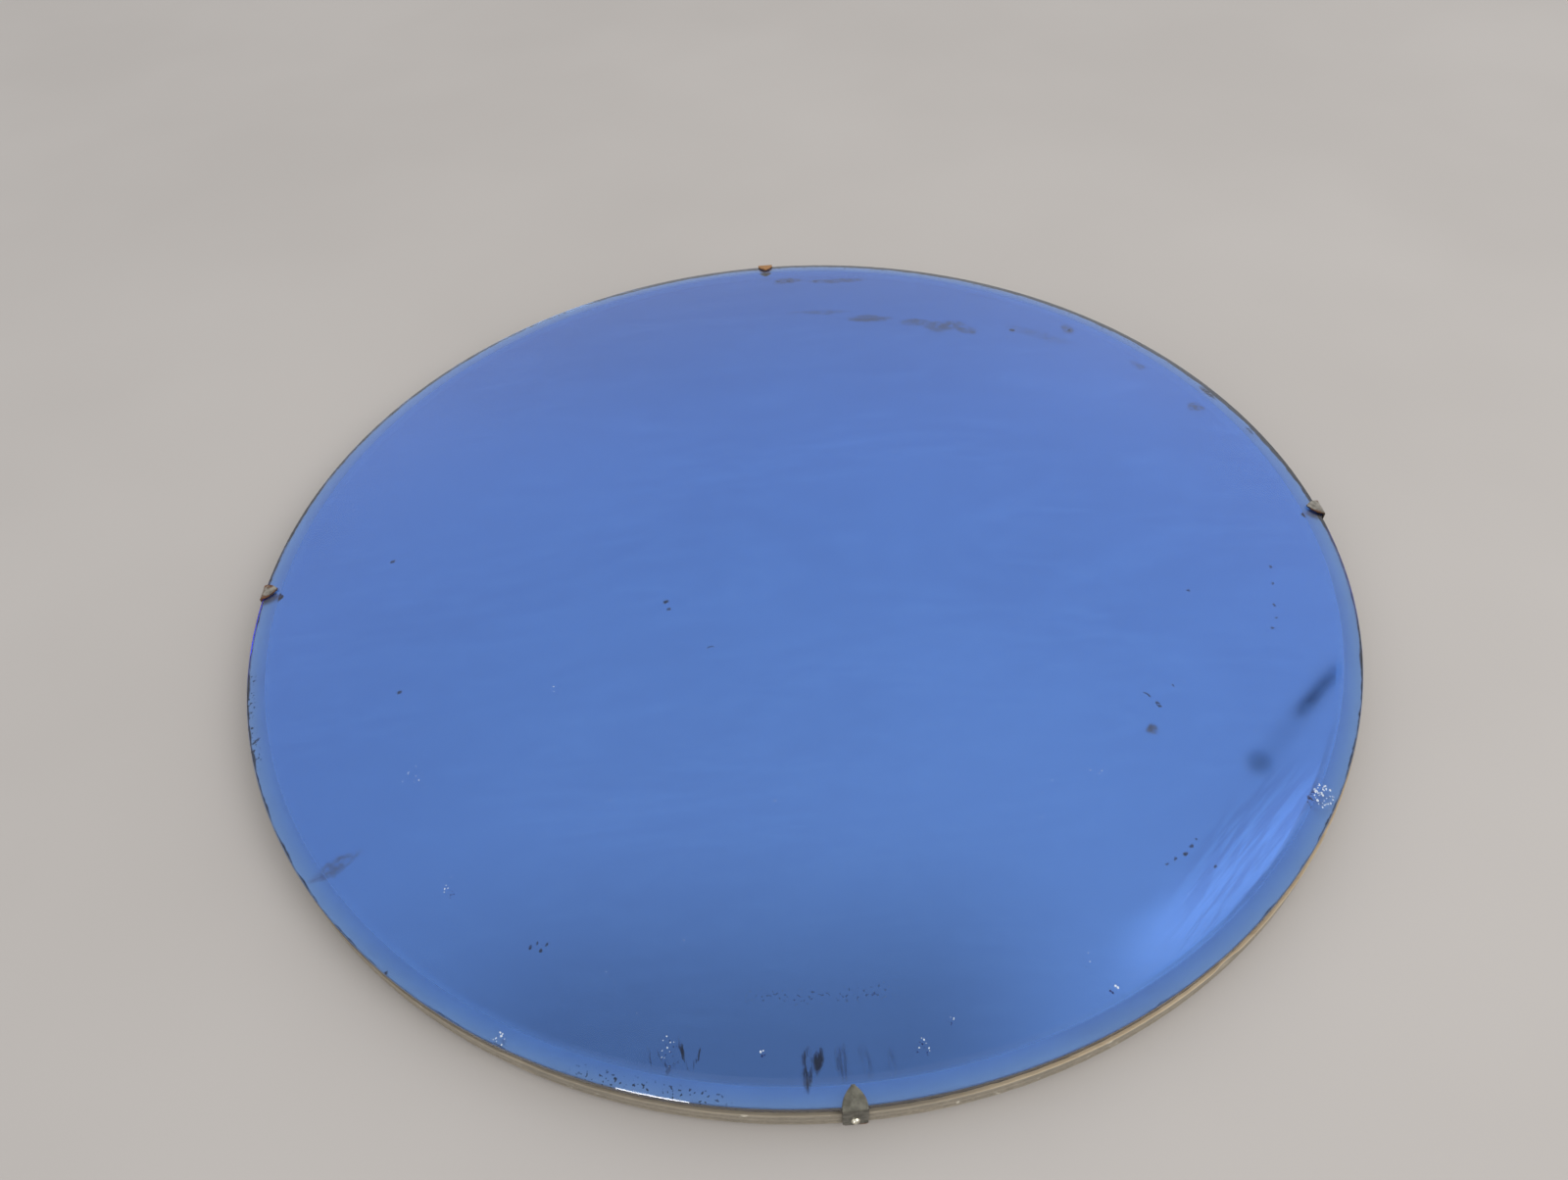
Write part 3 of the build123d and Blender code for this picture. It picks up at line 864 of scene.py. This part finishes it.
def aged_metal(name, clean, rust_share, roughness=0.38, rust=RUST_BROWN, shaded_edge_heading=None):
    """Plated steel gone dull, with brown rust that starts along its edges and in pits.

    The last argument is the angle of the direction that the cut edges of a clip face; those faces get
    painted shade, darkened towards near black.
    """
    material, graph, shader = new_material(name)
    place = graph.place()
    dulling = graph.noise(place, 300.0, detail=5)
    film = graph.noise(place, 90.0, detail=3)
    pits = graph.noise(place, 1400.0, detail=3)
    dull = tuple(0.55 * part for part in clean)
    surface = graph.mix(graph.remap(dulling, 0.35, 0.65), clean, dull)
    # painted shade: the faces that look along the given heading, a clip's cut edges, are darkened
    # towards near black
    if shaded_edge_heading is not None:
        facing = graph.node("ShaderNodeNewGeometry").outputs["Normal"]
        sideways = graph.vector("DOT_PRODUCT", facing, (math.cos(shaded_edge_heading), math.sin(shaded_edge_heading), 0))
        edge_shade = graph.remap(graph.math("ABSOLUTE", sideways), 0.35, 0.75, 0, 0.85)
        surface = graph.mix(edge_shade, surface, (0.035, 0.030, 0.026))
    worn_edge = graph.node("ShaderNodeNewGeometry").outputs["Pointiness"]
    edge = graph.remap(worn_edge, 0.50, 0.56)
    patches = graph.math("ADD", graph.math("MULTIPLY", film, 0.6), graph.math("MULTIPLY", dulling, 0.4))
    patches = graph.math("ADD", patches, graph.math("MULTIPLY", edge, 0.10))
    start = 0.66 - 0.36 * rust_share
    rusty = graph.remap(patches, start, start + 0.10)
    rust_tone = graph.mix(graph.remap(pits, 0.35, 0.65), rust, tuple(0.45 * part for part in rust))
    graph.feed(shader.inputs["Base Color"], graph.mix(rusty, surface, rust_tone))
    graph.feed(shader.inputs["Metallic"], graph.remap(rusty, 0, 1, 1.0, 0.1, smooth=False))
    rough = graph.remap(dulling, 0.3, 0.7, roughness - 0.08, roughness + 0.14)
    rough = graph.math("ADD", rough, graph.math("MULTIPLY", rusty, 0.35), clamp=True)
    graph.feed(shader.inputs["Roughness"], rough)
    relief = graph.math("ADD", graph.math("MULTIPLY", rusty, 0.6), graph.math("MULTIPLY", pits, 0.5))
    graph.feed(shader.inputs["Normal"], graph.bump(relief, 0.06 * MM))
    return material


def rubber():
    """Black moulded rubber with a chalky bloom."""
    material, graph, shader = new_material("black_rubber")
    place = graph.place()
    chalk = graph.noise(place, 120.0, detail=4)
    grit = graph.noise(place, 1500.0, detail=2)
    chalky = graph.remap(chalk, 0.45, 0.75)
    tone = graph.mix(chalky, (0.018, 0.018, 0.019), (0.060, 0.058, 0.054))
    graph.feed(shader.inputs["Base Color"], tone)
    graph.feed(shader.inputs["Roughness"], graph.remap(chalk, 0.3, 0.7, 0.55, 0.8))
    graph.feed(shader.inputs["Normal"], graph.bump(grit, 0.05 * MM))
    return material


def pale_dust():
    """Pale crumbs, painted a little blue for the blue light that the glass round them throws on them."""
    material, graph, shader = new_material("pale_dust")
    tone = graph.noise(graph.place(), 400.0, detail=2)
    colour = graph.mix(tone, (0.42, 0.50, 0.62), (0.72, 0.78, 0.86))
    graph.feed(shader.inputs["Base Color"], colour)
    shader.inputs["Roughness"].default_value = 0.7
    return material


# ======================================================================
# Pieces
# ======================================================================
add_piece("bevelled_glass", glass_mesh(), blue_glass(), "mirror", ["mirror_glass"])
add_piece("silvering", silver_mesh(), silvering(), "mirror", ["silver_coat"])
add_piece("plywood_board", board_mesh(), plywood(), "mirror", ["backing_board"])
add_piece("felt_ring", felt_mesh(), felt(), "mirror", ["felt_seat_ring"])

CLIPS = {  # angle round the board, how far its metal has rusted, its colour, its rust's colour
    "right": (0, 0.35, (0.34, 0.32, 0.28), RUST_BROWN),
    "top": (90, 0.75, (0.60, 0.42, 0.22), (0.50, 0.25, 0.09)),
    "left": (180, 0.40, (0.34, 0.32, 0.28), RUST_BROWN),
    "bottom": (270, 0.18, (0.215, 0.21, 0.175), RUST_BROWN),
}
for side, (angle, rust_share, colour, rust) in CLIPS.items():
    clip = f"spring_clip_{side}"
    # the clip's cut edges face this way, and aged_metal paints shade on them
    shaded_edge_heading = math.radians(angle + 90)
    metal = aged_metal(f"clip_metal_{side}", colour, rust_share, rust=rust, shaded_edge_heading=shaded_edge_heading)
    mesh = clip_mesh(clip, math.radians(angle))
    plate = add_piece(clip, mesh, metal, "mirror", [f"clip_{side}"])
    soften(plate, 0.22 * MM)

add_piece("dust_flecks", fleck_mesh(), pale_dust(), "mirror")

rubber_material = rubber()
for corner in CORNERS:
    node = f"bumper_{corner}"
    foot = f"rubber_foot_{corner}"
    add_piece(foot, bumper_mesh(foot, node), rubber_material, "mirror", [node])


def dress(node, material, edge=None):
    """Gives a CAD node that keeps its shape a material and, if asked, softer edges."""
    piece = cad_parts[node]
    piece.data.materials.clear()
    piece.data.materials.append(material)
    if edge:
        soften(piece, edge)


NAILS = {  # how far the nail has rusted, its colour
    "right": (0.30, (0.70, 0.66, 0.56)),
    "top": (0.80, (0.55, 0.38, 0.20)),
    "left": (0.45, (0.55, 0.50, 0.42)),
    "bottom": (0.05, (0.86, 0.82, 0.68)),
}
SCREW_EDGE = 0.08 * MM
STRAP_EDGE = 0.12 * MM

dress("backing_paint", painted_back())
for side, (rust_share, colour) in NAILS.items():
    nail_metal = aged_metal(f"nail_metal_{side}", colour, rust_share, roughness=0.22)
    dress(f"clip_nail_{side}", nail_metal)
zinc = aged_metal("screw_metal", (0.52, 0.50, 0.45), 0.25, roughness=0.33)
strap_metal = aged_metal("hanger_metal", (0.50, 0.44, 0.32), 0.12, roughness=0.35)
ring_metal = aged_metal("ring_metal", (0.55, 0.51, 0.43), 0.20, roughness=0.28)
for corner in CORNERS:
    dress(f"bumper_screw_{corner}", zinc, SCREW_EDGE)
for side in ("left", "right"):
    dress(f"hanger_strap_{side}", strap_metal, STRAP_EDGE)
    dress(f"hanging_ring_{side}", ring_metal)
    for end in ("upper", "lower"):
        dress(f"hanger_screw_{side}_{end}", zinc, SCREW_EDGE)


# ======================================================================
# Floor, light and camera
# ======================================================================
def paper():
    """Pale warm-grey paper, faintly cloudy and fibrous."""
    material, graph, shader = new_material("paper_floor")
    place = graph.place()
    fibre = graph.noise(place, 900.0, detail=3)
    cloudy = graph.noise(place, 2.5, detail=3)
    tone = graph.mix(graph.remap(cloudy, 0.3, 0.7), (0.478, 0.455, 0.436), (0.506, 0.483, 0.464))
    tone = graph.mix(graph.remap(fibre, 0.6, 0.8, 0, 0.2), tone, (0.435, 0.412, 0.394))
    graph.feed(shader.inputs["Base Color"], tone)
    shader.inputs["Roughness"].default_value = 0.85
    shader.inputs["Specular IOR Level"].default_value = 0.2
    return material


def add_floor():
    """Sheet of pale paper, wide enough for every view."""
    half = 9.0
    corners = [(-half, -half, 0), (half, -half, 0), (half, half, 0), (-half, half, 0)]
    mesh = bpy.data.meshes.new("paper_floor")
    mesh.from_pydata(corners, [], [(0, 1, 2, 3)])
    mesh.materials.append(paper())
    floor = bpy.data.objects.new("paper_floor", mesh)
    bpy.context.scene.collection.objects.link(floor)


# Brightness of the surroundings, and what is added to it: bands from one direction to
# another with their half width in degrees, and round patches with the angles from their
# middle at which they start and end fading.
ROOM_LEVEL = 0.91
BANDS = [
    ((0.38, 0.125, 0.916), (0.635, 0.325, 0.70), 3.0, 0.45),  # the bright band at the right
    ((0.64, 0.45, 0.62), (0.595, 0.40, 0.70), 0.8, -0.50),  # a small dark bar beside it
    ((0.63, 0.44, 0.64), (0.54, 0.335, 0.77), 1.3, -0.14),  # a fainter bar that runs on from it
]
PATCHES = [
    ((0.553, 0.352, 0.755), 0.2, 1.2, -0.30),  # a dark spot where the fainter bar ends
    ((1.0, 0.3, 0.4), 10, 70, 0.06),  # lighter to the right
    ((-1.0, 0.2, 0.3), 10, 80, -0.07),  # darker to the left
    ((0.0, 1.0, 0.05), 5, 35, -0.15),  # darker low in front
]


def add_room_light():
    """Soft pale surroundings: brightest at the right, dimmer overhead."""
    world = bpy.data.worlds.new("soft_room")
    bpy.context.scene.world = world
    world.use_nodes = True
    tree = world.node_tree
    tree.nodes.clear()
    graph = Graph(tree)
    output = graph.node("ShaderNodeOutputWorld")
    background = graph.node("ShaderNodeBackground")
    graph.feed(output.inputs["Surface"], background.outputs[0])
    heading = graph.vector("NORMALIZE", graph.node("ShaderNodeTexCoord").outputs["Generated"])

    def patch(direction, inner, outer, amount):
        """Amount towards a direction, fading to none between two angles from it."""
        towards = graph.vector("DOT_PRODUCT", heading, tuple(Vector(direction).normalized()))
        far, near = math.cos(math.radians(outer)), math.cos(math.radians(inner))
        return graph.remap(towards, far, near, 0.0, amount)

    def band(first, second, half_width, amount):
        """Amount along a soft band that runs from one direction to another."""
        first, second = Vector(first).normalized(), Vector(second).normalized()
        aside = first.cross(second).normalized()
        half_length = math.degrees(first.angle(second)) / 2
        off = graph.math("ABSOLUTE", graph.vector("DOT_PRODUCT", heading, tuple(aside)))
        near = graph.remap(off, math.sin(math.radians(half_width)), 0.0)
        ends = patch(first + second, half_length * 0.4, half_length * 1.2, amount)
        return graph.math("MULTIPLY", near, ends)

    level = ROOM_LEVEL
    for values in BANDS:
        level = graph.math("ADD", level, band(*values))
    for values in PATCHES:
        level = graph.math("ADD", level, patch(*values))

    # the dimmer part overhead, a wide bar across the room
    across, ahead = graph.split(heading)[:2]
    front = graph.remap(ahead, 0.38, 0.04, 0.0, 0.40)
    behind = graph.remap(ahead, -0.12, 0.04, 0.35, 1.0)
    overhead = graph.math("MULTIPLY", front, behind)
    right, left = graph.remap(across, 0.42, 0.10), graph.remap(across, -0.75, -0.25)
    overhead = graph.math("MULTIPLY", overhead, graph.math("MULTIPLY", right, left))
    level = graph.math("SUBTRACT", level, overhead)
    graph.feed(background.inputs["Color"], (1.0, 0.99, 0.985, 1))
    graph.feed(background.inputs["Strength"], level)


def add_key_light():
    """Large soft lamp at the right, on the near side."""
    lamp = bpy.data.lights.new("key_light", "AREA")
    lamp.shape = "DISK"
    lamp.size = 1.6
    lamp.energy = 24.0
    lamp.color = (1.0, 0.98, 0.95)
    key = bpy.data.objects.new("key_light", lamp)
    bpy.context.scene.collection.objects.link(key)
    key.location = (1.6, -1.4, 1.8)
    key.rotation_euler = (-Vector(key.location)).to_track_quat("-Z", "Y").to_euler()


def add_low_light():
    """Small low lamp at the near left, which the seamed edge of the glass glints from."""
    lamp = bpy.data.lights.new("low_light", "AREA")
    lamp.shape = "RECTANGLE"
    lamp.size = 0.5
    lamp.size_y = 0.2
    lamp.energy = 6.0
    low_light = bpy.data.objects.new("low_light", lamp)
    bpy.context.scene.collection.objects.link(low_light)
    target = Vector((-0.26, -0.97, 0)) * glass_radius + Vector((0, 0, rim_z))
    towards = Vector((-0.450, -0.889, 0.066)).normalized()
    distance = 2.5
    low_light.location = target + distance * towards
    low_light.rotation_euler = (-towards).to_track_quat("-Z", "Y").to_euler()


def add_camera():
    """Hand-held phone camera, 1.45 rim radii in front of the mirror and 1.48 above its rim."""
    sensor_width = 36.0
    angle_of_view = math.radians(71.25)
    heading, tilt, roll = math.radians(-1.17), math.radians(42.47), math.radians(-3.78)
    position = Vector((-0.0542, -1.4521, 1.4777)) * glass_radius
    data = bpy.data.cameras.new("camera")
    data.sensor_width = sensor_width
    data.lens = sensor_width / 2 / math.tan(angle_of_view / 2)
    data.clip_start = 0.01
    data.clip_end = 50
    camera = bpy.data.objects.new("camera", data)
    bpy.context.scene.collection.objects.link(camera)
    middle = Vector((glass_middle.x, glass_middle.y, rim_z))
    turn = Matrix.Rotation(heading, 4, "Z") @ Matrix.Rotation(tilt, 4, "X")
    turn = turn @ Matrix.Rotation(roll, 4, "Z")
    camera.matrix_world = Matrix.Translation(middle + position) @ turn
    bpy.context.scene.camera = camera


add_floor()
add_room_light()
add_key_light()
add_low_light()
add_camera()
bpy.context.scene.view_settings.view_transform = "Standard"
